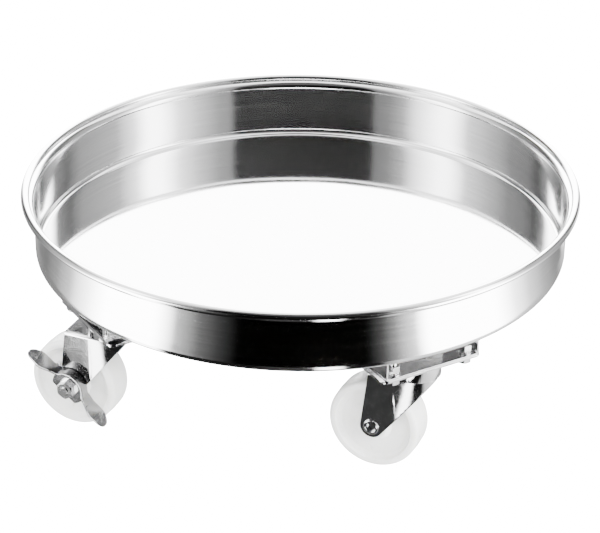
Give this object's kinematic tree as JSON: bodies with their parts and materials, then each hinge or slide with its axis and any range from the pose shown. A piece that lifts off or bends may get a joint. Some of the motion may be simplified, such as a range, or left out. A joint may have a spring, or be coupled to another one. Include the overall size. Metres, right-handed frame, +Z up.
{
  "type": "round drum dolly",
  "caption": "Shallow round stainless tray with a curled rim on swivel casters, some with a foot-operated rocking brake lever, for wheeling a drum or large pot.",
  "frame": {"origin": "on the ground under the tray's centre", "axes": "+Z up; the swivel axes stand on the diagonals between +X and +Y; front is -Y, and front_left is at -X -Y"},
  "size_m": [0.4492, 0.4492, 0.1757],
  "materials": {
    "tray_steel": "bright, fine circumferential brushing",
    "core_wire": "plain drawn wire",
    "pressed_steel": "tumbled satin",
    "fasteners": "plain bright",
    "sleeve_steel": "smooth",
    "bearing_steel": "polished",
    "wheel_nylon": "moulded, slightly translucent, satin"
  },
  "bodies": {
    "tray": {"tray_pan": "tray_steel", "rim_wire": "core_wire", "mount_bracket_front_left": "pressed_steel", "caster_plate_front_left": "pressed_steel", "upper_race_front_left": "bearing_steel", "kingpin_front_left": "pressed_steel", "mount_bracket_front_right": "pressed_steel", "caster_plate_front_right": "pressed_steel", "upper_race_front_right": "bearing_steel", "kingpin_front_right": "pressed_steel", "mount_bracket_back_right": "pressed_steel", "caster_plate_back_right": "pressed_steel", "upper_race_back_right": "bearing_steel", "kingpin_back_right": "pressed_steel", "mount_bracket_back_left": "pressed_steel", "caster_plate_back_left": "pressed_steel", "upper_race_back_left": "bearing_steel", "kingpin_back_left": "pressed_steel", "plate_bolts": "fasteners", "plate_flat_washers": "fasteners", "plate_spring_washers": "fasteners", "plate_nuts": "fasteners"},
    "caster_front_left": {"swivel_cup_front_left": "pressed_steel", "swivel_balls_front_left": "bearing_steel", "fork_front_left": "pressed_steel", "axle_sleeve_front_left": "sleeve_steel", "axle_front_left": "fasteners", "brake_cam_front_left": "pressed_steel", "lever_washer_front_left": "fasteners", "axle_nuts_front_left": "fasteners"},
    "wheel_front_left": {"wheel_front_left": "wheel_nylon"},
    "brake_front_left": {"brake_lever_front_left": "pressed_steel"},
    "caster_front_right": {"swivel_cup_front_right": "pressed_steel", "swivel_balls_front_right": "bearing_steel", "fork_front_right": "pressed_steel", "axle_sleeve_front_right": "sleeve_steel", "axle_front_right": "pressed_steel"},
    "wheel_front_right": {"wheel_front_right": "wheel_nylon"},
    "caster_back_right": {"swivel_cup_back_right": "pressed_steel", "swivel_balls_back_right": "bearing_steel", "fork_back_right": "pressed_steel", "axle_sleeve_back_right": "sleeve_steel", "axle_back_right": "fasteners", "brake_cam_back_right": "pressed_steel", "lever_washer_back_right": "fasteners", "axle_nuts_back_right": "fasteners"},
    "wheel_back_right": {"wheel_back_right": "wheel_nylon"},
    "brake_back_right": {"brake_lever_back_right": "pressed_steel"},
    "caster_back_left": {"swivel_cup_back_left": "pressed_steel", "swivel_balls_back_left": "bearing_steel", "fork_back_left": "pressed_steel", "axle_sleeve_back_left": "sleeve_steel", "axle_back_left": "pressed_steel"},
    "wheel_back_left": {"wheel_back_left": "wheel_nylon"}
  },
  "joints": [
    {"name": "swivel_front_left", "type": "hinge", "parent": "tray", "child": "caster_front_left", "pos_m": [-0.12268, -0.12268, 0.0898], "axis": [0, 0, 1], "continuous": true},
    {"name": "roll_front_left", "type": "hinge", "parent": "caster_front_left", "child": "wheel_front_left", "pos_m": [-0.1517, -0.11793, 0.0375], "axis": [-0.1616, -0.9869, 0], "continuous": true},
    {"name": "brake_front_left", "type": "hinge", "parent": "caster_front_left", "child": "brake_front_left", "pos_m": [-0.1517, -0.11793, 0.0375], "axis": [-0.1616, -0.9869, 0], "range_deg": [0, 60]},
    {"name": "swivel_front_right", "type": "hinge", "parent": "tray", "child": "caster_front_right", "pos_m": [0.12268, -0.12268, 0.0898], "axis": [0, 0, 1], "continuous": true},
    {"name": "roll_front_right", "type": "hinge", "parent": "caster_front_right", "child": "wheel_front_right", "pos_m": [0.09367, -0.11793, 0.0375], "axis": [-0.1616, -0.9869, 0], "continuous": true},
    {"name": "swivel_back_right", "type": "hinge", "parent": "tray", "child": "caster_back_right", "pos_m": [0.12268, 0.12268, 0.0898], "axis": [0, 0, 1], "continuous": true},
    {"name": "roll_back_right", "type": "hinge", "parent": "caster_back_right", "child": "wheel_back_right", "pos_m": [0.09367, 0.12743, 0.0375], "axis": [-0.1616, -0.9869, 0], "continuous": true},
    {"name": "brake_back_right", "type": "hinge", "parent": "caster_back_right", "child": "brake_back_right", "pos_m": [0.09367, 0.12743, 0.0375], "axis": [-0.1616, -0.9869, 0], "range_deg": [0, 60]},
    {"name": "swivel_back_left", "type": "hinge", "parent": "tray", "child": "caster_back_left", "pos_m": [-0.12268, 0.12268, 0.0898], "axis": [0, 0, 1], "continuous": true},
    {"name": "roll_back_left", "type": "hinge", "parent": "caster_back_left", "child": "wheel_back_left", "pos_m": [-0.1517, 0.12743, 0.0375], "axis": [-0.1616, -0.9869, 0], "continuous": true}
  ]
}
